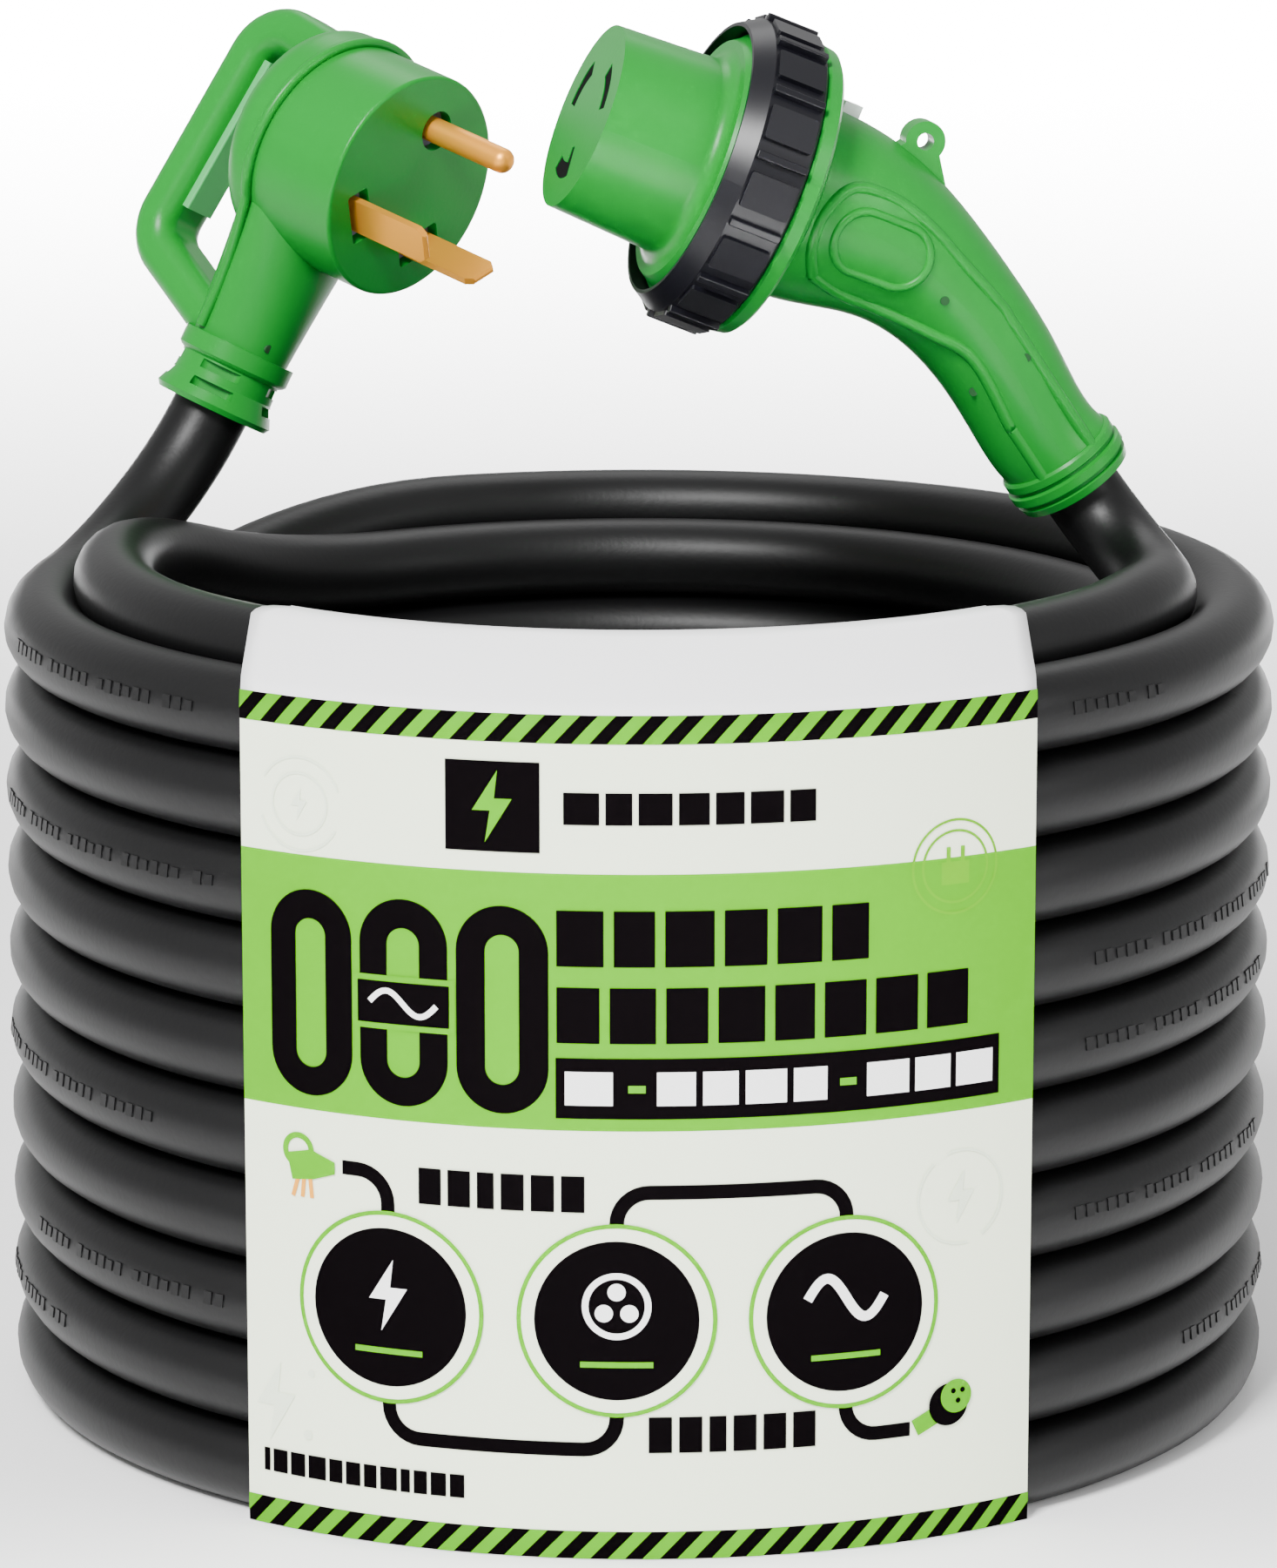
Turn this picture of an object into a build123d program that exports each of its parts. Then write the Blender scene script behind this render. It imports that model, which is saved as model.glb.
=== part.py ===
"""A 30 A shore power cord for a recreational vehicle.

The cord is wound in a neat two-layer coil that stands on its end turns, held by a
printed paper sleeve.  Its plug and its twist-lock connector stand up out of the
coil on short leads.  The frame: millimetres, +Z up, origin on the floor under the
middle of the coil, the sleeve faces -Y.
"""
from build123d import *
import math
import os

os.makedirs("parts", exist_ok=True)

# ---------------------------------------------------------------- driving sizes
cord_d = 17.2  # jacket diameter of a 10 AWG, three-conductor STW cord
cord_r = cord_d / 2
turn_pitch = 1.01 * cord_d  # height from one turn to the next
turns_per_layer = 10
outer_turn_r = 7.315 * cord_d  # centreline radius of the outer layer
inner_turn_r = outer_turn_r - math.sqrt(cord_d**2 - (turn_pitch / 2) ** 2)
outer_top_z = cord_r + (turns_per_layer - 1) * turn_pitch
inner_top_z = outer_top_z + turn_pitch / 2

sleeve_t = 0.4  # paper thickness
sleeve_gap = 0.5  # paper stands this far off the cord
sleeve_half_angle = 35.4  # degrees each side of -Y

conductor_r = 2.4  # insulated 10 AWG conductor

# Plug: face centre, blade direction, and the way from the cord to the ground pin.
plug_exit = Vector(-94.5, 70.0, 197.0)
plug_out = Vector(0.7276, -0.6427, -0.2405).normalized()
plug_up = Vector(0.4301, 0.1540, 0.8896).normalized()
plug_neck_back = 24.0  # neck axis behind the face
plug_exit_down = 63.0  # cord exit below the face centre
plug_face_r = 25.2
plug_rim_r = 26.6
plug_seam_back = 21.0
plug_back = 34.0
neck_r = 11.2
blade_w = 8.4
blade_t = 1.6
blade_l = 20.5
blade_x = 11.2
blade_y = -10.7
pin_r = 2.8
pin_l = 22.5
pin_y = 13.4

# Connector: cord exit, face direction, and the way down the bent handle.
conn_exit = Vector(93.0, 10.0, 191.5)
conn_out = Vector(-0.9012, -0.2051, 0.3821).normalized()
conn_handle_dir = Vector(0.5418, 0.1320, -0.8301).normalized()
handle_axis_off = 43.8  # handle axis, measured square to itself from the face centre
handle_exit_along = 127.0  # cord exit, measured along the handle direction
nose_face_r = 20.0
nose_root_r = 21.3
nose_l = 24.5
flange_r = 28.8
ring_inner_r = 29.2
ring_outer_r = 32.4
ring_pad_h = 0.9
ring_front = 24.5
ring_back = 40.7
rear_flange_r = 32.0
slot_r = 12.0
eye_r = 1.8

# ------------------------------------------------------------------- head frames


def frame(origin, x_dir, z_dir):
    """A plane from an origin and two directions."""
    return Plane(origin=origin, x_dir=x_dir, z_dir=z_dir)


plug_x = plug_up.cross(plug_out).normalized()
plug_up = plug_out.cross(plug_x).normalized()
plug_face_at = plug_exit + plug_up * plug_exit_down + plug_out * plug_neck_back
plug_face = frame(plug_face_at, plug_x, plug_out)
plug_axis = Axis(plug_face_at, plug_out)


def plug_at(x, up, out):
    """World point of plug coordinates: right, up and out of the face."""
    return plug_face_at + plug_x * x + plug_up * up + plug_out * out


plug_neck = frame(plug_at(0, 0, -plug_neck_back), plug_x, plug_up)  # section along the neck
plug_side = frame(plug_face_at, plug_out, plug_out.cross(plug_up))  # x out, y up
neck_profile = frame(plug_at(0, 0, -plug_neck_back), plug_x, plug_out)  # x radius, y up
neck_axis = Axis(plug_at(0, 0, -plug_neck_back), plug_up)

conn_up = (conn_handle_dir - conn_out * conn_handle_dir.dot(conn_out)).normalized() * -1
conn_x = conn_up.cross(conn_out).normalized()
handle_sin = -conn_handle_dir.dot(conn_up)
handle_cos = -conn_handle_dir.dot(conn_out)
handle_square = conn_up * handle_cos - conn_out * handle_sin  # square to the handle, upwards
conn_face_at = conn_exit - conn_handle_dir * handle_exit_along + handle_square * handle_axis_off * -1
conn_face = frame(conn_face_at, conn_x, conn_out)
conn_axis = Axis(conn_face_at, conn_out)
handle_base = conn_face_at + handle_square * handle_axis_off
handle_axis = Axis(handle_base, conn_handle_dir)


def conn_at(x, up, out):
    """World point of connector coordinates: towards the viewer's side, up and out of the face."""
    return conn_face_at + conn_x * x + conn_up * up + conn_out * out


def handle_section(along):
    """Plane square to the handle, at a distance along it from the face centre's foot."""
    return frame(handle_base + conn_handle_dir * along, conn_x, conn_handle_dir)


def save(part, label):
    """Name a finished piece and write it as its own file."""
    part.label = label
    export_step(part, f"parts/{label}.step")


# ------------------------------------------------------------- coil, leads, sleeve
inner_wall_r = inner_turn_r - cord_r
outer_wall_r = outer_turn_r + cord_r
outer_crest_z = outer_top_z + cord_r
inner_crest_z = inner_top_z + cord_r
step_r = (inner_turn_r + outer_turn_r) / 2
turn_round = 8.0
pocket_h = sleeve_t + 0.1

with BuildPart() as cord_coil:
    with BuildSketch(Plane.XZ) as coil_profile:
        with BuildLine():
            Polyline(
                (inner_wall_r, turn_pitch / 2),
                (inner_turn_r + 4, 0),
                (outer_wall_r, 0),
                (outer_wall_r, outer_crest_z),
                (step_r + 4, outer_crest_z),
                (step_r - 4, inner_crest_z),
                (inner_wall_r, inner_crest_z),
                close=True,
            )
        make_face()
        corners = coil_profile.vertices()
        outer_corners = corners.filter_by(lambda v: v.X > outer_wall_r - 1)
        inner_corner = corners.filter_by(lambda v: v.Y > inner_crest_z - 1).sort_by(Axis.X)[0]
        fillet(outer_corners + [inner_corner], turn_round)
    revolve(axis=Axis.Z)
    sleeve_start = math.radians(-90 - sleeve_half_angle - 0.5)
    start_dir = Vector(math.cos(sleeve_start), math.sin(sleeve_start), 0)
    with BuildSketch(frame((0, 0, 0), start_dir, start_dir.cross(Vector(0, 0, 1)))):
        with Locations(((inner_wall_r + outer_wall_r) / 2, pocket_h / 2)):
            Rectangle(outer_wall_r - inner_wall_r + 4, pocket_h)
    revolve(axis=Axis.Z, revolution_arc=2 * sleeve_half_angle + 1, mode=Mode.SUBTRACT)
save(cord_coil.part, "cord_coil")

sleeve_in = inner_wall_r - sleeve_gap - sleeve_t
sleeve_out = outer_wall_r + sleeve_gap + sleeve_t
sleeve_top = inner_crest_z + sleeve_gap + sleeve_t
sleeve_shoulder = outer_crest_z + sleeve_gap + sleeve_t
paper_start = math.radians(-90 - sleeve_half_angle)
paper_dir = Vector(math.cos(paper_start), math.sin(paper_start), 0)

with BuildPart() as label_sleeve:
    with BuildSketch(frame((0, 0, 0), paper_dir, paper_dir.cross(Vector(0, 0, 1)))) as paper:
        with BuildLine():
            Polyline(
                (sleeve_in, turn_pitch / 2 - 2),
                (inner_turn_r + 2, 0),
                (sleeve_out, 0),
                (sleeve_out, sleeve_shoulder),
                (step_r + 4, sleeve_shoulder),
                (step_r - 4, sleeve_top),
                (sleeve_in, sleeve_top),
                close=True,
            )
        make_face()
        corners = paper.vertices()
        outer_corner = corners.filter_by(lambda v: v.Y > 1).sort_by(Axis.X)[-1]
        inner_corner = corners.filter_by(lambda v: v.Y > sleeve_top - 1).sort_by(Axis.X)[0]
        fillet([outer_corner, inner_corner], turn_round)
        offset(amount=-sleeve_t, kind=Kind.INTERSECTION, mode=Mode.SUBTRACT)
    revolve(axis=Axis.Z, revolution_arc=2 * sleeve_half_angle)
save(label_sleeve.part, "label_sleeve")

# Lead routes, from the head to the coil; the last points lie on the coil's top turns.
plug_route = [
    tuple(plug_neck.from_local_coords((0, 0, -51))),
    tuple(plug_neck.from_local_coords((0, 0, -66))),
    (-103.0, 63.8, 183.1),
    (-110.4, 54.8, 174.3),
    (-116.8, 43.2, 168.3),
    (-121.7, 29.8, 165.2),
    (-124.9, 15.6, 164.9),
    (-125.8, 0.5, 164.9),
]
conn_route = [
    tuple(handle_section(handle_exit_along - 12).origin),
    tuple(handle_section(handle_exit_along + 4.0).origin),
    (103.5, 3.2, 178.1),
    (108.5, -10.5, 173.4),
    (108.3, -25.9, 173.5),
    (103.2, -42.2, 174.4),
    (94.6, -58.0, 173.6),
    (84.8, -71.5, 173.6),
]


def bend_radii(route):
    """Radius at each inner point: 0.45 of the shorter run over tan(half the turn)."""
    points = [Vector(*point) for point in route]
    radii = []
    for before, here, after in zip(points, points[1:], points[2:]):
        run_in = here - before
        run_out = after - here
        half_turn = math.radians(run_in.get_angle(run_out)) / 2
        radii.append(0.45 * min(run_in.length, run_out.length) / math.tan(half_turn))
    return radii


def lead_tube(route, label):
    """A cord tube of straight runs and tangent arcs."""
    radii = bend_radii(route)
    with BuildPart() as tube:
        with BuildLine():
            path = FilletPolyline(*route, radius=radii)
        with BuildSketch(Plane(origin=path @ 0, z_dir=path % 0)):
            Circle(cord_r)
        sweep(path=path)
    fill = tube.part.volume / (math.pi * cord_r**2 * path.length)
    print(label, "bend radii", [round(radius, 1) for radius in radii])
    print(label, "length", round(path.length, 1), "volume over section x length", round(fill, 4))
    save(tube.part, label)


lead_tube(plug_route, "cord_lead_plug")
lead_tube(conn_route, "cord_lead_connector")

# ------------------------------------------------------------------ plug: shells
neck_flare_r = 22.5  # neck half-width where it leaves the round head
neck_flare_up = -12.0
neck_waist_r = 15.2
neck_waist_up = -27.0
neck_foot_up = -48.0
seam_tilt = 6.0  # degrees that the seam leans back towards the neck
shell_wall = 3.0
carrier_front = 3.0
carrier_back = 15.0
cavity_back = 30.5
clamp_up = -36.0
clamp_l = 6.0
clamp_t = 1.2

seam_normal = (plug_out * math.cos(math.radians(seam_tilt))
               + plug_up * -math.sin(math.radians(seam_tilt)))
seam = frame(plug_at(0, 22, -plug_seam_back), plug_x, seam_normal)


with BuildPart() as neck:  # shared by the two shells, which meet on the seam
    with BuildSketch(plug_neck.offset(neck_flare_up + 8)):
        Ellipse(neck_flare_r, 9.6)
    with BuildSketch(plug_neck.offset(neck_waist_up)):
        Ellipse(neck_waist_r, neck_r)
    with BuildSketch(plug_neck.offset(neck_foot_up)):
        Circle(neck_r)
    loft()

with BuildPart() as plug_nose:
    with BuildSketch(plug_face.offset(-28)):
        Circle(plug_face_r)
    extrude(amount=28)
    face_edge = plug_nose.edges().sort_by(plug_axis)[-1]
    fillet(face_edge, 0.8)
    add(neck.part)
    split(bisect_by=seam, keep=Keep.TOP)
    with BuildSketch(plug_face.offset(-carrier_front)):
        Circle(plug_face_r - shell_wall)
    extrude(amount=-(cavity_back - carrier_front), mode=Mode.SUBTRACT)
    with BuildSketch(plug_neck):
        Circle(cord_r)
    extrude(amount=neck_foot_up - 1, mode=Mode.SUBTRACT)
    with BuildSketch(plug_neck.offset(clamp_up)):
        Circle(cord_r + clamp_t)
    extrude(amount=-clamp_l, mode=Mode.SUBTRACT)
    with BuildSketch(plug_face.offset(1)):
        with Locations((0, pin_y)):
            Circle(4.5)
        for side in (-1, 1):
            with Locations(Location((side * blade_x, blade_y, 0), (0, 0, side * 45))):
                RectangleRounded(12.0, 6.0, 0.8)
    extrude(amount=-(carrier_front + 2), mode=Mode.SUBTRACT)
save(plug_nose.part, "plug_nose")

with BuildPart() as plug_back_shell:
    with BuildSketch(plug_face.offset(-plug_back)):
        Circle(plug_rim_r)
    extrude(amount=plug_back - plug_seam_back + 4)
    back_edge = plug_back_shell.edges().sort_by(plug_axis)[0]
    fillet(back_edge, 7)
    add(neck.part)
    split(bisect_by=seam, keep=Keep.BOTTOM)
    with BuildSketch(plug_face.offset(-cavity_back)):
        Circle(plug_face_r - shell_wall)
    extrude(amount=cavity_back, mode=Mode.SUBTRACT)
    with BuildSketch(plug_neck):
        Circle(cord_r)
    extrude(amount=neck_foot_up - 1, mode=Mode.SUBTRACT)
    with BuildSketch(plug_neck.offset(clamp_up)):
        Circle(cord_r + clamp_t)
    extrude(amount=-clamp_l, mode=Mode.SUBTRACT)
save(plug_back_shell.part, "plug_back_shell")

# --------------------------------------------------------- plug: relief and handle
relief_collar_h = 4.5
relief_exit_r = 13.6
relief_slot_h = 2.0
relief_slot_rows = (-5.4, -9.6)  # below the collar's foot
relief_slots = 4

with BuildPart() as plug_strain_relief:
    with BuildSketch(neck_profile):
        with BuildLine():
            Polyline(
                (cord_r, neck_foot_up),
                (12.9, neck_foot_up),
                (12.9, neck_foot_up - relief_collar_h + 0.6),
                (12.3, neck_foot_up - relief_collar_h),
                (11.4, neck_foot_up - relief_collar_h - 0.5),
                (11.6, neck_foot_up - relief_collar_h - 4.6),
                (relief_exit_r, -plug_exit_down + 1.2),
                (relief_exit_r - 0.8, -plug_exit_down),
                (cord_r, -plug_exit_down),
                close=True,
            )
        make_face()
    revolve(axis=neck_axis)
    for row in relief_slot_rows:
        with BuildSketch(plug_neck.offset(neck_foot_up + row)):
            with PolarLocations(11.6, relief_slots, start_angle=-60):
                SlotOverall(10.0, 3.6, rotation=90)
        extrude(amount=-relief_slot_h, mode=Mode.SUBTRACT)
save(plug_strain_relief.part, "plug_strain_relief")

grip_w = 15.5
grip_t = 10.3
liner_t = 1.4
handle_route = [(-29.0, 18.5), (-53.5, 21.0), (-59.0, -34.0), (-29.0, -46.5)]  # out, up
liner_w = 9.0
liner_from = (-48.9, 12.0)
liner_to = (-52.7, -25.0)

with BuildPart() as plug_handle:
    with BuildLine(plug_side):
        loop = FilletPolyline(*handle_route, radius=9)
    with BuildSketch(frame(loop @ 0, plug_x, loop % 0)):
        RectangleRounded(grip_w, grip_t, 4.4)
    sweep(path=loop)
    add(plug_back_shell.part, mode=Mode.SUBTRACT)
    add(plug_nose.part, mode=Mode.SUBTRACT)
    add(plug_strain_relief.part, mode=Mode.SUBTRACT)
    with BuildSketch(plug_face.offset(-cavity_back)):
        Circle(plug_face_r)
    extrude(amount=cavity_back, mode=Mode.SUBTRACT)
    with BuildSketch(plug_neck):
        Circle(neck_r - 1)
    extrude(amount=neck_foot_up - 4, mode=Mode.SUBTRACT)
    with BuildLine(plug_side):
        liner_line = Line(liner_from, liner_to)
    with BuildSketch(frame(liner_line @ 0, plug_x, liner_line % 0)):
        Rectangle(liner_w, 2 * liner_t)
    sweep(path=liner_line, mode=Mode.SUBTRACT)
save(plug_handle.part, "plug_handle")

with BuildPart() as plug_handle_liner:
    with BuildLine(plug_side):
        liner_line = Line(liner_from, liner_to)
    with BuildSketch(frame(liner_line @ 0, plug_x, liner_line % 0)):
        RectangleRounded(liner_w, 2 * liner_t, 0.5)
    sweep(path=liner_line)
save(plug_handle_liner.part, "plug_handle_liner")

# ------------------------------------------------------- plug: contacts and wiring
contact_poles = {
    "hot": (-blade_x, blade_y),
    "neutral": (blade_x, blade_y),
    "ground": (0.0, pin_y),
}
carrier_r = plug_face_r - shell_wall - 0.2
crimp_l = 4.5
crimp_r = 3.2

with BuildPart() as blade_carrier:
    with BuildSketch(plug_face.offset(-carrier_front)):
        Circle(carrier_r)
    extrude(amount=-(carrier_back - carrier_front))
    rear_rim = blade_carrier.edges().sort_by(plug_axis)[0]
    chamfer(rear_rim, 1)
    with BuildSketch(plug_face):
        with Locations((0, pin_y)):
            Circle(pin_r)
        for side in (-1, 1):
            with Locations(Location((side * blade_x, blade_y, 0), (0, 0, side * 45))):
                Rectangle(blade_w, blade_t)
    extrude(amount=-carrier_back, mode=Mode.SUBTRACT)
save(blade_carrier.part, "blade_carrier")

for pole, side in (("hot", -1), ("neutral", 1)):
    with BuildPart() as blade:
        with BuildSketch(plug_face.offset(-carrier_back)):
            with Locations(Location((side * blade_x, blade_y, 0), (0, 0, side * 45))):
                Rectangle(blade_w, blade_t)
        extrude(amount=carrier_back + blade_l)
        tip_edges = blade.faces().sort_by(plug_axis)[-1].edges().sort_by(SortBy.LENGTH)
        chamfer(tip_edges[0:2], 2.0, 1.4)
        tip_edges = blade.faces().sort_by(plug_axis)[-1].edges().sort_by(SortBy.LENGTH)
        chamfer(tip_edges[-2:], 0.45)
    save(blade.part, f"{pole}_blade")

with BuildPart() as ground_pin:
    with BuildSketch(plug_face.offset(-carrier_back)):
        with Locations((0, pin_y)):
            Circle(pin_r)
    extrude(amount=carrier_back + pin_l)
    tip_edge = ground_pin.edges().sort_by(plug_axis)[-1]
    fillet(tip_edge, pin_r - 0.3)
save(ground_pin.part, "ground_pin")

for pole, (pole_x, pole_up) in contact_poles.items():
    with BuildPart() as crimp:
        with BuildSketch(plug_face.offset(-carrier_back)):
            with Locations((pole_x, pole_up)):
                Circle(crimp_r)
        extrude(amount=-crimp_l)
        with BuildSketch(plug_face.offset(-carrier_back - 2)):
            with Locations((pole_x, pole_up)):
                Circle(conductor_r)
        extrude(amount=-crimp_l, mode=Mode.SUBTRACT)
    save(crimp.part, f"plug_{pole}_crimp")

wire_foot_up = -31.0
wire_gather_up = -20.0
wire_elbow_out = -25.5
wire_spread = conductor_r * 1.18
wire_feet = {"hot": (-90 + 240), "neutral": (-90 + 120), "ground": -90}


def wire(route, radius, label):
    """An insulated conductor along straight runs and tangent arcs."""
    with BuildPart() as lead:
        with BuildLine():
            path = FilletPolyline(*route, radius=radius)
        with BuildSketch(Plane(origin=path @ 0, z_dir=path % 0)):
            Circle(conductor_r)
        sweep(path=path)
    save(lead.part, label)


for pole, (pole_x, pole_up) in contact_poles.items():
    foot = math.radians(wire_feet[pole])
    foot_x = wire_spread * math.cos(foot)
    foot_out = -plug_neck_back + wire_spread * math.sin(foot)
    crimp_end = -carrier_back - 3
    route = [
        plug_at(pole_x, pole_up, crimp_end),
        plug_at(pole_x * 0.98, pole_up - 1, wire_elbow_out),
        plug_at(foot_x, wire_gather_up, foot_out),
        plug_at(foot_x, wire_foot_up, foot_out),
    ]
    wire(route, 3, f"plug_{pole}_wire")

with BuildPart() as plug_cord_clamp:
    with BuildSketch(plug_neck.offset(clamp_up)):
        Circle(cord_r + clamp_t)
        Circle(cord_r, mode=Mode.SUBTRACT)
    extrude(amount=-clamp_l)
save(plug_cord_clamp.part, "plug_cord_clamp")

with BuildPart() as plug_cord_end:
    with BuildSketch(plug_neck.offset(wire_foot_up)):
        Circle(cord_r)
    extrude(amount=-(plug_exit_down - 12 + wire_foot_up))
save(plug_cord_end.part, "plug_cord_end")

# -------------------------------------------------------------- connector: planes
conn_profile = frame(conn_face_at, conn_x, conn_up * -1)  # x radius, y out of the face
conn_side = frame(conn_face_at, conn_out * -1, conn_x)  # x back from the face, y up


def body_section(back, up, turn):
    """Plane across the bent body: place in the side view and degrees turned so far."""
    along = conn_out * -math.cos(math.radians(turn)) + conn_up * -math.sin(math.radians(turn))
    return frame(conn_at(0, up, -back), conn_x, along)


# -------------------------------------------------------------- connector: front
nose_wall = 3.0
nose_front_wall = 4.0
spigot_r = 20.0
spigot_back = 31.0
flange_back = 29.0
pole_angles = {"hot": 152, "neutral": 40, "ground": 270}
slot_arc = 50
slot_w = 3.6
hook_inner_r = 7.0  # inward hook of the earth slot
hook_sweep = 15
skirt_w = 4.2
contact_t = 1.6
contact_inset = 3.0
block_back = 22.0
contact_l = block_back - nose_front_wall - contact_inset + 1.5
block_r = spigot_r - nose_wall



def curved_slot(inner_r, outer_r, start, sweep):
    """A slot between two radii, from an angle round by a sweep."""
    with BuildSketch() as slot:
        with BuildLine():
            outer = CenterArc((0, 0), outer_r, start, sweep)
            inner = CenterArc((0, 0), inner_r, start, sweep)
            Line(outer @ 0, inner @ 0)
            Line(outer @ 1, inner @ 1)
        make_face()
    return slot.sketch


def pole_slot(angle, width):
    """The slot of one pole, centred on its angle."""
    return curved_slot(slot_r - width / 2, slot_r + width / 2, angle - slot_arc / 2, slot_arc)


wide_slots = [pole_slot(angle, slot_w) for angle in pole_angles.values()]
hook_start = pole_angles["ground"] + slot_arc / 2 - hook_sweep
hook_slot = curved_slot(hook_inner_r, slot_r, hook_start, hook_sweep)
contact_slots = {pole: pole_slot(angle, contact_t) for pole, angle in pole_angles.items()}

with BuildPart() as connector_nose:
    with BuildSketch(conn_profile) as nose_section:
        with BuildLine():
            Polyline(
                (0, 0),
                (nose_face_r, 0),
                (nose_root_r, -nose_l),
                (nose_root_r + skirt_w, -nose_l),
                (nose_root_r + skirt_w, -nose_l - 1.0),
                (spigot_r, -nose_l - 1.0),
                (spigot_r, -spigot_back),
                (0, -spigot_back),
                close=True,
            )
        make_face()
        corners = nose_section.vertices()
        root_corner = corners.filter_by(lambda v: abs(v.X - nose_root_r) < 0.01)
        fillet(root_corner, 3.0)
        rim_corner = corners.filter_by(lambda v: v.Y > -0.1).sort_by(Axis.X)[-1]
        fillet(rim_corner, 0.8)
    revolve(axis=conn_axis)
    with BuildSketch(conn_face.offset(-nose_front_wall)):
        Circle(block_r)
    extrude(amount=-spigot_back, mode=Mode.SUBTRACT)
    with BuildSketch(conn_face.offset(1)):
        add(wide_slots)
        add(hook_slot)
    extrude(amount=-(nose_front_wall + 1.5), mode=Mode.SUBTRACT)
save(connector_nose.part, "connector_nose")

with BuildPart() as contact_block:
    with BuildSketch(conn_face.offset(-nose_front_wall)):
        Circle(block_r)
    extrude(amount=-(block_back - nose_front_wall))
    with BuildSketch(conn_face.offset(-nose_front_wall)):
        add(wide_slots)
    extrude(amount=-contact_inset, mode=Mode.SUBTRACT)
    with BuildSketch(conn_face.offset(-nose_front_wall)):
        add(contact_slots.values())
    extrude(amount=-block_back, mode=Mode.SUBTRACT)
save(contact_block.part, "contact_block")

for pole, slot in contact_slots.items():
    with BuildPart() as contact:
        with BuildSketch(conn_face.offset(-nose_front_wall - contact_inset)):
            add(slot)
        extrude(amount=-contact_l)
    save(contact.part, f"connector_{pole}_contact")

with BuildPart() as terminal_screws:
    with BuildSketch(conn_face.offset(-block_back)):
        with PolarLocations(9.0, 3, start_angle=pole_angles["neutral"] + 58):
            Circle(2.6)
    extrude(amount=-1.8)
    with BuildSketch(conn_face.offset(-block_back - 1.8)):
        with PolarLocations(9.0, 3, start_angle=pole_angles["neutral"] + 58):
            Rectangle(3.4, 0.7)
    extrude(amount=0.8, mode=Mode.SUBTRACT)
save(terminal_screws.part, "terminal_screws")

with BuildPart() as front_flange:
    with BuildSketch(conn_profile):
        with BuildLine():
            Polyline(
                (spigot_r, -nose_l - 1.0),
                (nose_root_r + skirt_w, -nose_l - 1.0),
                (nose_root_r + skirt_w, -nose_l),
                (26.0, -nose_l),
                (27.6, -nose_l - 2.4),
                (27.6, -nose_l - 2.9),
                (flange_r - 0.4, -nose_l - 3.1),
                (flange_r, -nose_l - 3.5),
                (flange_r, -flange_back),
                (spigot_r, -flange_back),
                close=True,
            )
        make_face()
    revolve(axis=conn_axis)
save(front_flange.part, "front_flange")

with BuildPart() as seal_ring:
    with BuildSketch(conn_profile):
        with Locations(((24.2 + flange_r - 0.2) / 2, -flange_back - 1)):
            RectangleRounded(flange_r - 0.2 - 24.2, 2, 0.8)
    revolve(axis=conn_axis)
save(seal_ring.part, "seal_ring")

# -------------------------------------------------------- connector: locking ring
ring_lip_r = 24.6
ring_lip_l = 3.2
ring_bevel_l = 4.0
ring_pads = 14
pad_w = 7.6
thread_relief = 0.8

with BuildPart() as locking_ring:
    with BuildSketch(conn_profile):
        with BuildLine():
            Polyline(
                (ring_inner_r, -ring_front),
                (ring_inner_r + 0.8, -ring_front),
                (ring_outer_r, -ring_front - ring_bevel_l),
                (ring_outer_r, -ring_back + 0.6),
                (ring_outer_r - 0.6, -ring_back),
                (ring_lip_r, -ring_back),
                (ring_lip_r, -ring_back + ring_lip_l),
                (ring_inner_r + thread_relief, -ring_back + ring_lip_l),
                (ring_inner_r + thread_relief, -flange_back - 1),
                (ring_inner_r, -flange_back - 1.8),
                close=True,
            )
        make_face()
    revolve(axis=conn_axis)
    pad_plane = frame(conn_at(ring_outer_r - 1, 0, 0), conn_out, conn_x)
    with BuildSketch(pad_plane):
        with Locations((-(ring_front + ring_bevel_l + ring_back - 0.6) / 2, 0)):
            RectangleRounded(ring_back - ring_front - ring_bevel_l - 1.6, pad_w, 0.6)
    pad = extrude(amount=1 + ring_pad_h, mode=Mode.PRIVATE)
    for turn in range(ring_pads):
        add(pad.rotate(conn_axis, turn * 360 / ring_pads))
save(locking_ring.part, "locking_ring")

# ------------------------------------------------------------- connector: handle
barrel_r = 24.0
rear_flange_front = 41.0
rear_flange_back = 45.0
handle_r = 12.3
collar_from = 118.5
wall = 3.2
body_stations = [  # back, up, degrees turned, radius
    (46.0, 0.0, 0, 21.4),
    (57.0, 0.0, 0, 20.2),
    (69.0, -1.0, 10, 17.9),
    (81.0, -4.4, 23, 15.2),
]
straight_stations = [(87.0, 13.1), (100.0, 12.5), (collar_from, handle_r)]
jacket_from = 88.0
clamp_along = 93.0
lens_back = 52.6
lens_l = 4.0
lens_w = 4.0

with BuildPart() as handle_hollow:
    for back, up, turn, radius in body_stations:
        with BuildSketch(body_section(back, up, turn)):
            Circle(radius - wall)
    for along, radius in straight_stations:
        with BuildSketch(handle_section(along)):
            Circle(max(radius - wall, cord_r))
    loft()
    with BuildSketch(conn_face.offset(-spigot_back)):
        Circle(body_stations[0][3] - wall)
    extrude(amount=-(body_stations[0][0] - spigot_back))
    with BuildSketch(handle_section(jacket_from)):
        Circle(cord_r)
    extrude(amount=handle_exit_along - jacket_from)

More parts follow.
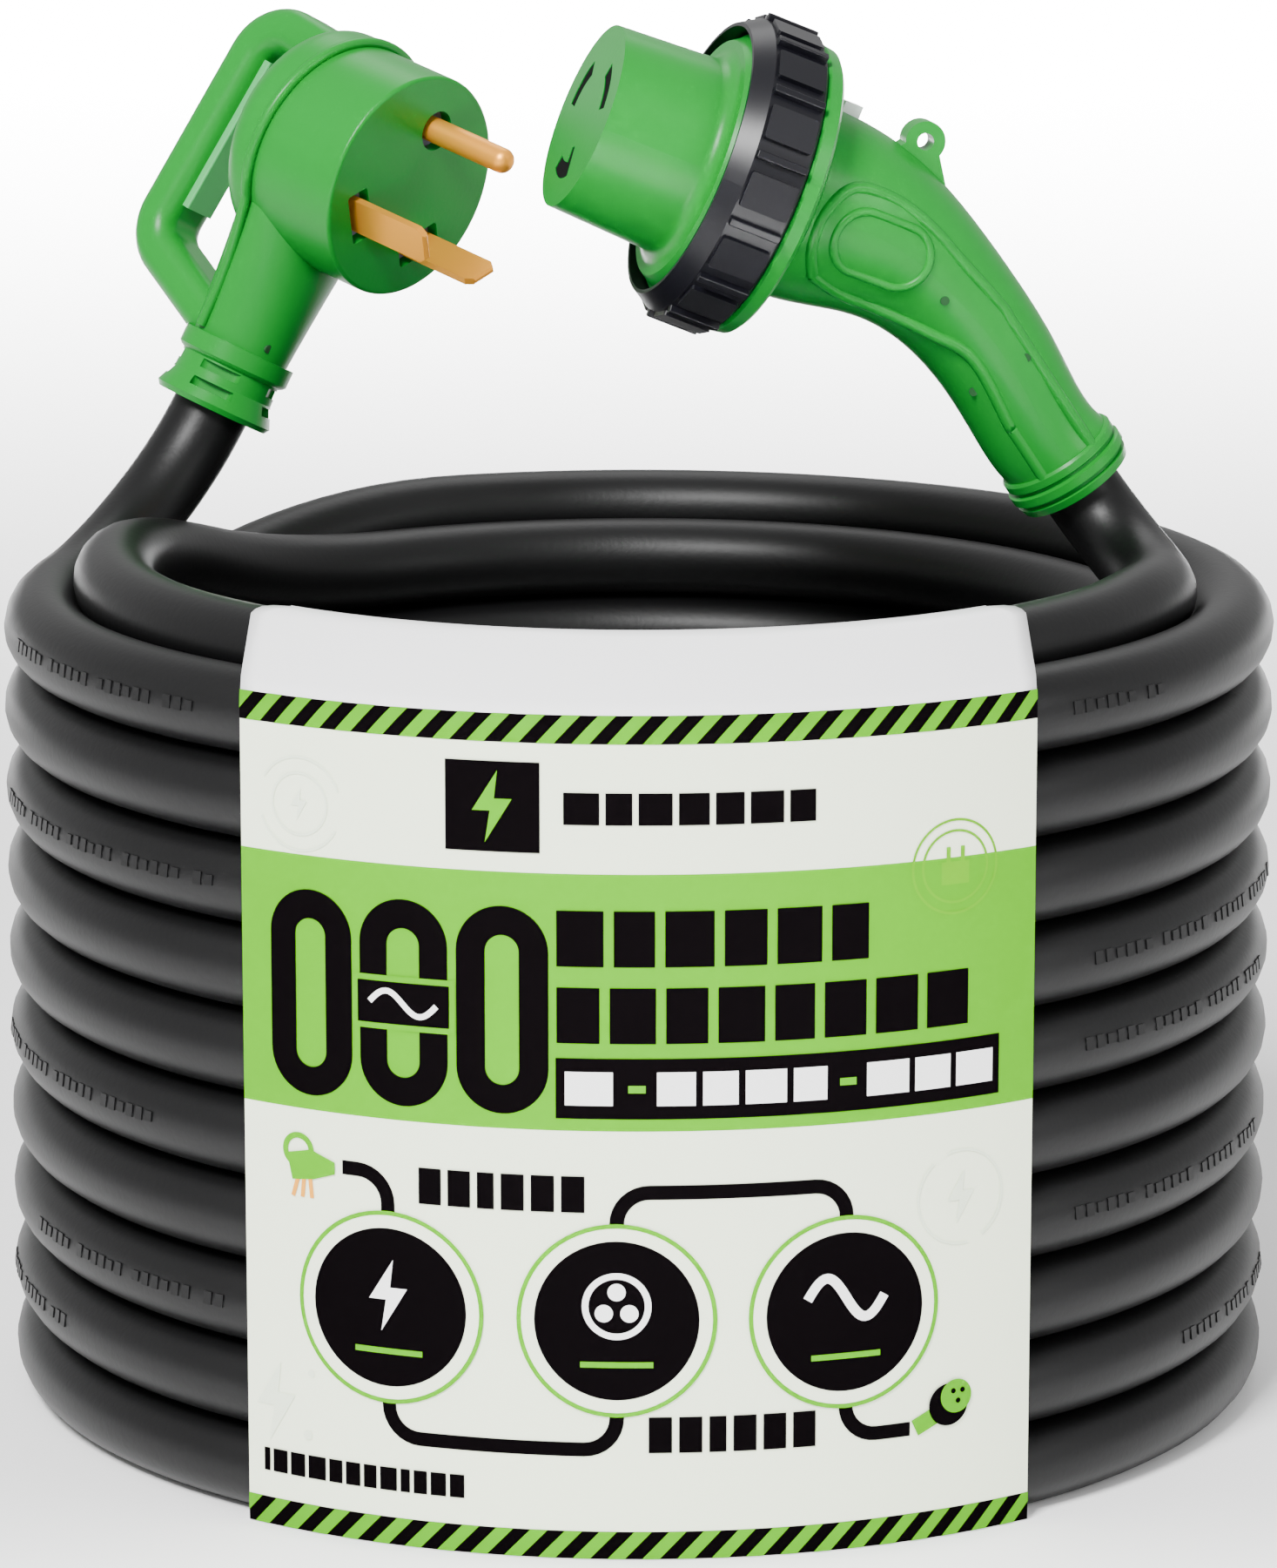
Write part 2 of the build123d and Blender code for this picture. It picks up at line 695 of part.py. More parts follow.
with BuildPart() as connector_handle:
    for back, up, turn, radius in body_stations:
        with BuildSketch(body_section(back, up, turn)):
            Circle(radius)
    for along, radius in straight_stations:
        with BuildSketch(handle_section(along)):
            Circle(radius)
    loft()
    with BuildSketch(conn_profile):
        with BuildLine():
            Polyline(
                (spigot_r, -spigot_back),
                (barrel_r, -spigot_back),
                (barrel_r, -rear_flange_front),
                (rear_flange_r - 0.6, -rear_flange_front),
                (rear_flange_r, -rear_flange_front - 0.6),
                (rear_flange_r - 0.4, -rear_flange_back + 0.8),
                (rear_flange_r - 1.4, -rear_flange_back),
                (21.6, -rear_flange_back - 3.0),
                (spigot_r - 1, -rear_flange_back - 3.0),
                (spigot_r - 1, -rear_flange_back),
                (spigot_r, -rear_flange_back),
                close=True,
            )
        make_face()
    revolve(axis=conn_axis)
    with BuildSketch(conn_side):
        with Locations((69.8, 21.2)):
            Circle(4.3)
        with Locations((69.8, 17.5)):
            Trapezoid(16, 7.4, 55)
    extrude(amount=2.7, both=True)
    with BuildSketch(conn_side):
        with Locations((69.8, 21.2)):
            Circle(eye_r)
    extrude(amount=6, both=True, mode=Mode.SUBTRACT)
    add(handle_hollow.part, mode=Mode.SUBTRACT)
    with BuildSketch(handle_section(clamp_along)):
        Circle(cord_r + clamp_t)
    extrude(amount=clamp_l, mode=Mode.SUBTRACT)
    with BuildSketch(conn_side):
        with Locations((lens_back, 21)):
            Rectangle(lens_l, 8)
    extrude(amount=lens_w / 2, both=True, mode=Mode.SUBTRACT)
save(connector_handle.part, "connector_handle")

with BuildPart() as connector_end_collar:
    with BuildSketch(frame(handle_base, conn_x, handle_square)):
        with BuildLine():
            Polyline(
                (cord_r, collar_from),
                (handle_r + 0.5, collar_from),
                (handle_r + 0.9, collar_from + 0.6),
                (handle_r + 0.9, collar_from + 2.2),
                (handle_r + 0.2, collar_from + 2.6),
                (handle_r + 0.2, collar_from + 3.2),
                (handle_r + 1.3, collar_from + 3.6),
                (handle_r + 1.3, collar_from + 5.4),
                (handle_r + 0.2, collar_from + 5.8),
                (handle_r + 0.2, collar_from + 6.4),
                (handle_r + 0.9, collar_from + 6.8),
                (handle_r + 0.4, handle_exit_along),
                (cord_r, handle_exit_along),
                close=True,
            )
        make_face()
    revolve(axis=handle_axis)
save(connector_end_collar.part, "connector_end_collar")

with BuildPart() as led_lens:
    with BuildSketch(conn_side):
        with Locations((lens_back, 20)):
            Rectangle(lens_l, 6)
    extrude(amount=lens_w / 2, both=True)
save(led_lens.part, "led_lens")

with BuildPart() as led_board:
    with BuildSketch(conn_side):
        with Locations((lens_back, 15.6)):
            Rectangle(7, 1.6)
    extrude(amount=3.5, both=True)
save(led_board.part, "led_board")

# ------------------------------------------------------------- connector: wiring
wire_ring_r = 3.2
for pole, angle in pole_angles.items():
    x = math.cos(math.radians(angle))
    y = math.sin(math.radians(angle))
    gather = Vector(wire_ring_r * x, wire_ring_r * y, 0)
    route = [
        conn_at(slot_r * x, slot_r * y, -block_back - 1.5),
        conn_at(slot_r * x, slot_r * y, -block_back - 7),
        body_section(50, 0, 0).from_local_coords(gather * 1.6),
        body_section(68, -1, 12).from_local_coords(gather * 1.3),
        handle_section(76).from_local_coords(gather),
        handle_section(jacket_from).from_local_coords(gather),
    ]
    wire(route, 3, f"connector_{pole}_wire")

with BuildPart() as connector_cord_clamp:
    with BuildSketch(handle_section(clamp_along)):
        Circle(cord_r + clamp_t)
        Circle(cord_r, mode=Mode.SUBTRACT)
    extrude(amount=clamp_l)
save(connector_cord_clamp.part, "connector_cord_clamp")

with BuildPart() as connector_cord_end:
    with BuildSketch(handle_section(jacket_from)):
        Circle(cord_r)
    extrude(amount=handle_exit_along - 12 - jacket_from)
save(connector_cord_end.part, "connector_cord_end")
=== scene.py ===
"""Looks of the coiled shore power cord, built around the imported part. Metres, +Z up."""

import math

import bmesh
import bpy
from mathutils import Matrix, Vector


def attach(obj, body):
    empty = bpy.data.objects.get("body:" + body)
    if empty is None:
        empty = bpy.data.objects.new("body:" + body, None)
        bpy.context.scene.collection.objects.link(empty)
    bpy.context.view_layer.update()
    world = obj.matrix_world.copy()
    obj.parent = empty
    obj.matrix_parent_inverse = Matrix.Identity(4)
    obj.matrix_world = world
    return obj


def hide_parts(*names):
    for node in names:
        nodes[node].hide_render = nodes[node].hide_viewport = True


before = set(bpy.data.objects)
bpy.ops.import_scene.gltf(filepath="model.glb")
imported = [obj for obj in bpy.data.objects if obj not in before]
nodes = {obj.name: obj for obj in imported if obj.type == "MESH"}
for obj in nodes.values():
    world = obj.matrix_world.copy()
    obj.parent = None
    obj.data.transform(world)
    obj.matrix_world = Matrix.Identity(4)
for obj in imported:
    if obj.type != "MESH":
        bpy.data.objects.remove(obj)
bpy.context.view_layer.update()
ROOT = "cord_set"
RING = "locking_ring"

# ----------------------------------------------------------------- driving sizes
CORD_D = 0.0172
CORD_R = CORD_D / 2
TURN_PITCH = 1.01 * CORD_D
TURNS = 10
OUTER_R = 0.125818
INNER_R = 0.110972
OUTER_CROSS = (116.0, 160.0)  # degrees round the coil where an outer turn steps down
INNER_CROSS = (128.0, 172.0)  # and where an inner turn steps up
POINTS_PER_TURN = 24
CORD_START = 192.0  # degrees round the coil where the plug's lead joins the top turn
CORD_END = 307.0  # and where the inner layer leaves for the connector, turns later

PLUG_EXIT = Vector((-0.0945, 0.0700, 0.1970))
PLUG_OUT = Vector((0.7276, -0.6427, -0.2405)).normalized()
PLUG_UP_HINT = Vector((0.4301, 0.1540, 0.8896)).normalized()
PLUG_NECK_BACK = 0.024
PLUG_EXIT_DOWN = 0.063

CONN_EXIT = Vector((0.0930, 0.0100, 0.1915))
CONN_OUT = Vector((-0.9012, -0.2051, 0.3821)).normalized()
CONN_HANDLE = Vector((0.5418, 0.1320, -0.8301)).normalized()
HANDLE_OFF = 0.0438
HANDLE_EXIT = 0.127

SLEEVE_R = OUTER_R + CORD_R + 0.0009
PRINT_TOP = 171.2  # top of the print, mm along the card
PRINT_LIFT = 0.00008  # of one printed layer over the last


# -------------------------------------------------------------------- materials
def material(name, color, roughness=0.5, metallic=0.0, coat=0.0, grain=None, specular=0.5):
    """A plain material; grain is (scale, strength, distance) of a fine surface bump."""
    made = bpy.data.materials.new(name)
    made.use_nodes = True
    tree = made.node_tree
    shader = tree.nodes["Principled BSDF"]
    shader.inputs["Base Color"].default_value = (*color, 1)
    shader.inputs["Roughness"].default_value = roughness
    shader.inputs["Metallic"].default_value = metallic
    shader.inputs["Coat Weight"].default_value = coat
    shader.inputs["Coat Roughness"].default_value = 0.12
    shader.inputs["Specular IOR Level"].default_value = specular
    if grain:
        scale, strength, distance = grain
        noise = tree.nodes.new("ShaderNodeTexNoise")
        noise.inputs["Scale"].default_value = scale
        noise.inputs["Detail"].default_value = 3
        bump = tree.nodes.new("ShaderNodeBump")
        bump.inputs["Strength"].default_value = strength
        bump.inputs["Distance"].default_value = distance
        place = tree.nodes.new("ShaderNodeTexCoord")
        tree.links.new(place.outputs["Object"], noise.inputs["Vector"])
        tree.links.new(noise.outputs["Fac"], bump.inputs["Height"])
        tree.links.new(bump.outputs["Normal"], shader.inputs["Normal"])
    return made


green = material("head_green", (0.0, 0.20, 0.017), 0.33, grain=(900, 0.10, 0.0002), specular=0.22)
green_liner = material("liner_green", (0.05, 0.36, 0.10), 0.45)
jacket = material("jacket", (0.0015, 0.0015, 0.0017), 0.44, grain=(700, 0.14, 0.0003), specular=0.27)
ring_black = material("ring_black", (0.003, 0.003, 0.005), 0.34, specular=0.3)
seal_black = material("seal_black", (0.010, 0.010, 0.010), 0.7)
brass = material("brass", (0.92, 0.38, 0.035), 0.42, metallic=0.7, specular=0.3)
core_grey = material("core_grey", (0.20, 0.18, 0.26), 0.6)
steel = material("steel", (0.55, 0.55, 0.57), 0.3, metallic=1.0)
lens = material("lens", (0.60, 0.66, 0.62), 0.15, coat=0.5)
# painted shade: black that stands for the shade deep inside the connector's slots
slot_black = material("slot_black", (0.001, 0.001, 0.001), 0.9, specular=0.1)
# painted shade: darkened green that stands for the shade inside the small moulding holes
hole_dark = material("hole_dark", (0.001, 0.05, 0.006), 0.8)
card_white = material("card_white", (0.93, 0.93, 0.94), 0.30, coat=0.2)
PRINT_SHEEN = 0.05
print_cream = material("print_cream", (0.90, 0.98, 0.76), 0.5, specular=PRINT_SHEEN)
print_green = material("print_green", (0.07, 0.31, 0.0), 0.5, specular=PRINT_SHEEN)
print_dark = material("print_dark", (0.002, 0.0015, 0.0018), 0.5, specular=0.0)
print_white = material("print_white", (0.95, 0.95, 0.95), 0.5, specular=PRINT_SHEEN)
print_faint = material("print_faint", (0.78, 0.87, 0.69), 0.5, specular=PRINT_SHEEN)
print_faint_green = material("print_faint_green", (0.10, 0.33, 0.0), 0.5, specular=PRINT_SHEEN)


def paint(node_materials):
    """Gives CAD nodes their materials."""
    for names, made in node_materials:
        for name in names:
            piece = nodes[name]
            piece.data.materials.clear()
            piece.data.materials.append(made)


paint(
    [
        (["plug_nose", "plug_back_shell", "plug_handle", "plug_strain_relief"], green),
        (["connector_nose", "front_flange", "connector_handle", "connector_end_collar"], green),
        (["plug_handle_liner"], green_liner),
        (["locking_ring"], ring_black),
        (["seal_ring"], seal_black),
        (["hot_blade", "neutral_blade", "ground_pin"], brass),
        (["connector_hot_contact", "connector_neutral_contact", "connector_ground_contact"], brass),
        (["plug_hot_crimp", "plug_neutral_crimp", "plug_ground_crimp"], brass),
        (["blade_carrier", "contact_block"], core_grey),
        (["plug_cord_end", "connector_cord_end"], jacket),
        (["plug_cord_clamp", "connector_cord_clamp", "terminal_screws"], steel),
        (["led_lens"], lens),
        (["led_board"], green_liner),
        (["plug_hot_wire", "connector_hot_wire"], ring_black),
        (["plug_neutral_wire", "connector_neutral_wire"], print_white),
        (["plug_ground_wire", "connector_ground_wire"], print_green),
        (["label_sleeve"], card_white),
    ]
)


# ------------------------------------------------------------------ head frames
PLUG_X = PLUG_UP_HINT.cross(PLUG_OUT).normalized()
PLUG_UP = PLUG_OUT.cross(PLUG_X).normalized()
PLUG_FACE = PLUG_EXIT + PLUG_UP * PLUG_EXIT_DOWN + PLUG_OUT * PLUG_NECK_BACK

CONN_UP = -(CONN_HANDLE - CONN_OUT * CONN_HANDLE.dot(CONN_OUT)).normalized()
CONN_X = CONN_UP.cross(CONN_OUT).normalized()
HANDLE_SIN = -CONN_HANDLE.dot(CONN_UP)
HANDLE_COS = -CONN_HANDLE.dot(CONN_OUT)
HANDLE_SQUARE = CONN_UP * HANDLE_COS - CONN_OUT * HANDLE_SIN
CONN_FACE = CONN_EXIT - CONN_HANDLE * HANDLE_EXIT - HANDLE_SQUARE * HANDLE_OFF


def plug_at(x, up, out):
    """World point of plug coordinates in millimetres: right, up, out of the face."""
    return PLUG_FACE + (PLUG_X * x + PLUG_UP * up + PLUG_OUT * out) / 1000


def conn_at(x, up, out):
    """World point of connector coordinates in millimetres: viewer's side, up, out."""
    return CONN_FACE + (CONN_X * x + CONN_UP * up + CONN_OUT * out) / 1000


def handle_at(x, across, along):
    """World point beside the connector's handle axis, in millimetres."""
    base = CONN_FACE + HANDLE_SQUARE * HANDLE_OFF
    return base + (CONN_X * x + HANDLE_SQUARE * across + CONN_HANDLE * along) / 1000


# ------------------------------------------------------------------ small makers
def new_mesh(name, verts, faces, made, smooth=True):
    """A mesh object from points and faces."""
    data = bpy.data.meshes.new(name)
    data.from_pydata([tuple(v) for v in verts], [], faces)
    data.materials.append(made)
    for face in data.polygons:
        face.use_smooth = smooth
    piece = bpy.data.objects.new(name, data)
    bpy.context.scene.collection.objects.link(piece)
    return piece


def soften(piece, width):
    """Rounds a piece's sharp edges as it is drawn."""
    bevel = piece.modifiers.new("soft_edges", "BEVEL")
    bevel.width = width
    bevel.segments = 2
    bevel.limit_method = "ANGLE"
    bevel.angle_limit = math.radians(35)
    bevel.harden_normals = True


# -------------------------------------------------------------------- the cord
def neck_point(up):
    """A point on the plug's neck axis, in millimetres up."""
    return tuple(plug_at(0, up, -PLUG_NECK_BACK * 1000))


plug_route = [
    neck_point(-53),
    neck_point(-66),
    (-0.1030, 0.0638, 0.1831),
    (-0.1104, 0.0548, 0.1743),
    (-0.1168, 0.0432, 0.1683),
    (-0.1217, 0.0298, 0.1652),
    (-0.1249, 0.0156, 0.1649),
    (-0.1258, 0.0005, 0.1649),
]
conn_route = [
    tuple(handle_at(0, 0, 117)),
    tuple(handle_at(0, 0, 131)),
    (0.1035, 0.0032, 0.1781),
    (0.1085, -0.0105, 0.1734),
    (0.1083, -0.0259, 0.1735),
    (0.1032, -0.0422, 0.1744),
    (0.0946, -0.0580, 0.1736),
    (0.0848, -0.0715, 0.1736),
]


def smooth_step(t):
    """0 to 1 with level ends."""
    t = min(max(t, 0.0), 1.0)
    return t * t * (3 - 2 * t)


def steps_taken(angle, zone):
    """How many turns the cord has stepped on by an angle, with part of a step in the zone."""
    first = zone[0] + 360
    if angle < first:
        return 0.0
    passed = int((angle - first) // 360)
    return passed + smooth_step((angle - first - passed * 360) / (zone[1] - zone[0]))


def coil_point(angle):
    """The centre of the cord at an angle in degrees, counted on from the plug's end."""
    outer_step = steps_taken(angle, OUTER_CROSS)
    if outer_step <= TURNS - 1:
        radius = OUTER_R
        height = CORD_R + (TURNS - 1 - outer_step) * TURN_PITCH
    else:
        inward = min(outer_step - TURNS + 1, 1.0)
        rise = max(steps_taken(angle, INNER_CROSS) - TURNS, 0.0) if inward == 1.0 else 0.0
        radius = OUTER_R + (INNER_R - OUTER_R) * inward
        height = CORD_R + (inward / 2 + rise) * TURN_PITCH
    radius /= math.cos(math.pi / POINTS_PER_TURN)
    turn = math.radians(angle)
    return (radius * math.cos(turn), radius * math.sin(turn), height)


def cord_line():
    """Control points of the whole cord, from the plug to the connector."""
    step = 360 / POINTS_PER_TURN
    end = CORD_END + 360 * (2 * TURNS - 1)
    count = round((end - CORD_START) / step)
    turns = [coil_point(CORD_START + (end - CORD_START) * i / count) for i in range(count + 1)]
    return plug_route + turns + conn_route[::-1]


def make_cord():
    """The cord as one open spline with its real thickness."""
    data = bpy.data.curves.new("cord", "CURVE")
    data.dimensions = "3D"
    line = cord_line()
    spline = data.splines.new("NURBS")
    spline.points.add(len(line) - 1)
    for point, place in zip(spline.points, line):
        point.co = (*place, 1)
    spline.order_u = 3
    spline.use_endpoint_u = True
    data.resolution_u = 5
    data.bevel_depth = CORD_R
    data.bevel_resolution = 8
    data.use_fill_caps = True
    data.materials.append(jacket)
    cord = bpy.data.objects.new("cord", data)
    bpy.context.scene.collection.objects.link(cord)
    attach(cord, ROOT)
    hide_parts("cord_coil", "cord_lead_plug", "cord_lead_connector")
    return cord


cord = make_cord()

# ---------------------------------------------------------------- printed sleeve
HALF_W = math.radians(35.4) * SLEEVE_R * 1000  # half the print's width round the coil, mm
WRAP_R = SLEEVE_R - OUTER_R  # the card's outside round a turn's centre
OUTER_TOP_Z = CORD_R + (TURNS - 1) * TURN_PITCH
INNER_TOP_Z = OUTER_TOP_Z + TURN_PITCH / 2
CARD_T = 0.0004
CARD_LIFT = 0.0001  # of the card's underside off the floor
LIP_R = 0.009  # of the card's rounded corners inside the coil


def on_sleeve(across, height, lift):
    """World point on the sleeve's front: across and up along the card in millimetres."""
    over = max(height / 1000 - OUTER_TOP_Z, 0.0) / WRAP_R
    radius = OUTER_R + (WRAP_R + lift) * math.cos(over)
    up = min(height / 1000, OUTER_TOP_Z) + (WRAP_R + lift) * math.sin(over)
    side = (SLEEVE_R + lift) * math.sin(across / 1000 / SLEEVE_R)
    return Vector((side, -math.sqrt(radius**2 - side**2), up))


def sleeve_path():
    """Radius and height along the card: front, over both top turns, down inside, under, out."""
    rise = INNER_TOP_Z - OUTER_TOP_Z
    lean = math.atan2(rise, OUTER_R - INNER_R)
    path = [(SLEEVE_R, OUTER_TOP_Z * i / 12) for i in range(13)]
    for i in range(1, 13):
        turn = (math.pi / 2 - lean) * i / 12
        path.append((OUTER_R + WRAP_R * math.cos(turn), OUTER_TOP_Z + WRAP_R * math.sin(turn)))
    for i in range(15):
        turn = math.pi / 2 - lean + (math.pi / 2 + lean) * i / 14
        path.append((INNER_R + WRAP_R * math.cos(turn), INNER_TOP_Z + WRAP_R * math.sin(turn)))
    inner_low_z = CORD_R + TURN_PITCH / 2
    for i in range(1, 9):
        path.append((INNER_R - WRAP_R, INNER_TOP_Z + (inner_low_z - INNER_TOP_Z) * i / 8))
    for i in range(1, 7):
        turn = math.pi + math.pi / 2 * 0.62 * i / 6
        path.append((INNER_R + WRAP_R * math.cos(turn), inner_low_z + WRAP_R * math.sin(turn)))
    path.append((SLEEVE_R - 0.014, CARD_LIFT))
    path.append((SLEEVE_R - 0.0006, CARD_LIFT))
    return path


def make_sleeve():
    """The card, as wide over the rim as on the front, with a narrower strap inside."""
    half = SLEEVE_R * math.sin(HALF_W / 1000 / SLEEVE_R)
    path = sleeve_path()
    rows = 48
    verts = []
    for row, (radius, up) in enumerate(path):
        side_limit = half
        if radius < INNER_R + LIP_R and row < len(path) - 2:
            into = min((INNER_R + LIP_R - radius) / LIP_R, 1.0)
            side_limit = half - LIP_R * (1 - math.sqrt(1 - into**2))
        for i in range(rows + 1):
            side = side_limit * (2 * i / rows - 1)
            verts.append((side, -math.sqrt(radius**2 - side**2), up))
    faces = []
    for row in range(len(path) - 1):
        for i in range(rows):
            first = row * (rows + 1) + i
            faces.append((first, first + 1, first + rows + 2, first + rows + 1))
    card = new_mesh("sleeve_card", verts, faces, card_white)
    thick = card.modifiers.new("card", "SOLIDIFY")
    thick.thickness = CARD_T
    thick.offset = -1
    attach(card, ROOT)
    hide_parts("label_sleeve")


make_sleeve()
print_meshes = {}
SLICE_ACROSS = 3  # how finely a printed shape is cut to follow the card, mm
SLICE_OVER_RIM = 0.7


def slice_mesh(piece, place, normal):
    """Cuts every face of a bmesh along a plane."""
    every = piece.verts[:] + piece.edges[:] + piece.faces[:]
    bmesh.ops.bisect_plane(piece, geom=every, plane_co=place, plane_no=normal)


def print_shape(outline, made, layer):
    """A flat printed shape on the sleeve, its outline in millimetres."""
    sheet = print_meshes.setdefault((made.name, layer), (bmesh.new(), made, layer))[0]
    piece = bmesh.new()
    face = piece.faces.new([piece.verts.new((x, z, 0)) for x, z in outline])
    bmesh.ops.triangulate(piece, faces=[face])
    low = min(x for x, _ in outline)
    high = max(x for x, _ in outline)
    cut = math.floor(low / SLICE_ACROSS) * SLICE_ACROSS + SLICE_ACROSS
    while cut < high:
        slice_mesh(piece, (cut, 0, 0), (1, 0, 0))
        cut += SLICE_ACROSS
    cut = OUTER_TOP_Z * 1000
    top = max(z for _, z in outline)
    while cut < top:
        slice_mesh(piece, (0, cut, 0), (0, 1, 0))
        cut += SLICE_OVER_RIM
    places = {}
    for vert in piece.verts:
        places[vert] = sheet.verts.new(on_sleeve(vert.co.x, vert.co.y, PRINT_LIFT * layer))
    for tri in piece.faces:
        made_face = sheet.faces.new([places[v] for v in tri.verts])
        made_face.smooth = True
    piece.free()


def box_shape(x0, z0, x1, z1, made, layer):
    """A printed rectangle."""
    print_shape([(x0, z0), (x1, z0), (x1, z1), (x0, z1)], made, layer)


def disc_shape(x, z, radius, made, layer, sides=56):
    """A printed disc."""
    turns = [2 * math.pi * i / sides for i in range(sides)]
    outline = [(x + radius * math.cos(t), z + radius * math.sin(t)) for t in turns]
    print_shape(outline, made, layer)


def stroke(points, width, made, layer):
    """A printed line of even width through points, its corners mitred."""
    places = [Vector(point) for point in points]
    left = []
    right = []
    for i, here in enumerate(places):
        run = places[min(i + 1, len(places) - 1)] - places[max(i - 1, 0)]
        side = Vector((-run.y, run.x)).normalized() * width / 2
        left.append(tuple(here + side))
        right.append(tuple(here - side))
    for i in range(len(places) - 1):
        print_shape([left[i], right[i], right[i + 1], left[i + 1]], made, layer)


def arc_points(x, z, radius, start, end, count=16):
    """Points round an arc, angles in degrees."""
    turns = [math.radians(start + (end - start) * i / count) for i in range(count + 1)]
    return [(x + radius * math.cos(t), z + radius * math.sin(t)) for t in turns]


def ring_shape(x, z, radius, width, made, layer, start=0, end=360, count=60):
    """A printed ring or part of one."""
    outer = arc_points(x, z, radius + width / 2, start, end, count)
    inner = arc_points(x, z, radius - width / 2, start, end, count)
    for i in range(count):
        print_shape([outer[i], outer[i + 1], inner[i + 1], inner[i]], made, layer)


STRIPE_PITCH = 6.9


def hazard(z0, z1):
    """A band of slanted stripes from edge to edge."""
    box_shape(-HALF_W, z0, HALF_W, z1, print_dark, 2)
    slant = (z1 - z0) * 0.95
    wide = STRIPE_PITCH / 2
    x = -HALF_W - slant
    while x < HALF_W:
        corners = [(x, z0), (x + wide, z0), (x + wide + slant, z1), (x + slant, z1)]
        clipped = clip(corners, -HALF_W, HALF_W)
        if clipped:
            print_shape(clipped, print_green, 3)
        x += STRIPE_PITCH


def clip(outline, low, high):
    """An outline cut to the print's left and right edges."""
    for edge, keep in ((low, 1), (high, -1)):
        kept = []
        for (x0, z0), (x1, z1) in zip(outline, outline[1:] + outline[:1]):
            inside0 = (x0 - edge) * keep >= 0
            inside1 = (x1 - edge) * keep >= 0
            if inside0:
                kept.append((x0, z0))
            if inside0 != inside1:
                t = (edge - x0) / (x1 - x0)
                kept.append((edge, z0 + (z1 - z0) * t))
        outline = kept
    return outline if len(outline) > 2 else None


def bolt(x, z, size, made, layer):
    """A lightning bolt."""
    shape = [(0.15, 1), (-0.55, -0.12), (-0.06, -0.12), (-0.2, -1), (0.55, 0.22), (0.06, 0.22)]
    print_shape([(x + a * size, z + b * size) for a, b in shape], made, layer)


def rounded_line(points, radius):
    """The points of a line whose corners are rounded."""
    line = [points[0]]
    for (ax, az), (bx, bz), (cx, cz) in zip(points, points[1:], points[2:]):
        into = Vector((ax - bx, az - bz)).normalized() * radius
        away = Vector((cx - bx, cz - bz)).normalized() * radius
        corner = Vector((bx, bz))
        centre = corner + into + away
        for i in range(9):
            t = i / 8 * math.pi / 2
            place = tuple(centre - away * math.cos(t) - into * math.sin(t))
            if (Vector(place) - Vector(line[-1])).length > 1e-4:
                line.append(place)
    line.append(points[-1])
    return line


def big_mark():
    """The large mark at the left of the green band: three tall loops joined by a sign."""
    base, top, half = 91.2, 133.0, 9.2
    for middle in (-67.2, -47.0, -26.8):
        stadium(middle, base + half, top - half, half, 5.8)
    box_shape(-57.8, 106.5, -36.2, 117.4, print_green, 5)
    box_shape(-56.6, 107.7, -37.4, 116.2, print_dark, 6)
    wave = []
    for i in range(25):
        wave.append((-54.0 + 14.0 * i / 24, 112.0 + 2.4 * math.sin(2 * math.pi * i / 24)))
    stroke(wave, 1.2, print_white, 7)


def stadium(x, z0, z1, half, width):
    """An upright loop with round ends."""
    middle = half - width / 2
    ring_shape(x, z1, middle, width, print_dark, 4, 0, 180, 24)
    ring_shape(x, z0, middle, width, print_dark, 4, 180, 360, 24)
    box_shape(x - half, z0, x - half + width, z1, print_dark, 4)
    box_shape(x + half - width, z0, x + half, z1, print_dark, 4)


def block_row(x, z, widths, height, made, layer, gap):
    """A row of blocks where a printed line of words would be."""
    for width in widths:
        box_shape(x, z, x + width, z + height, made, layer)
        x += width + gap


def little_plug(x, z):
    """A small green plug with a handle, at the start of the printed cord."""
    ring_shape(x - 2.0, z + 3.0, 3.0, 1.2, print_green, 4)
    body = [(-4.6, 2.2), (-3.4, -3.2), (1.6, -2.6), (6.4, -1.0), (6.4, 1.4), (1.0, 3.4)]
    print_shape([(x + a, z + b) for a, b in body], print_green, 5)
    for step in (-3.0, -1.0, 1.0):
        foot = (x + step * 1.1, z - 6.6)
        head = (x + step * 0.7, z - 2.6)
        stroke([head, foot], 0.9, brass, 4)


def little_connector(x, z):
    """A small green connector, at the end of the printed cord."""
    stroke([(x - 6, z - 3.2), (x, z - 0.4)], 3.6, print_green, 5)
    disc_shape(x + 1.5, z + 0.8, 4.4, print_dark, 6)
    disc_shape(x + 3.2, z + 2.4, 3.5, print_green, 7)
    for a, b in ((-0.9, 0.9), (1.2, 0.9), (0.2, -1.2)):
        disc_shape(x + 3.4 + a, z + 2.6 + b, 0.55, print_dark, 8, 12)


def disc_icon(x, z, kind):
    """What stands in a dark disc: a bolt, a cable's cross-section or a wave."""
    if kind == "bolt":
        bolt(x, z + 2.5, 7.4, print_white, 6)
    elif kind == "cores":
        ring_shape(x, z + 3, 6.2, 1.3, print_white, 6)
        for turn in (90, 210, 330):
            t = math.radians(turn)
            disc_shape(x + 2.9 * math.cos(t), z + 3 + 2.9 * math.sin(t), 1.8, print_white, 6, 24)
    else:
        wave = []
        for i in range(33):
            wave.append((x - 8 + 16 * i / 32, z + 3 + 4.2 * math.sin(2 * math.pi * i / 32)))
        stroke(wave, 2.0, print_white, 6)
    box_shape(x - 7.2, z - 9.6, x + 7.2, z - 8.4, print_green, 6)


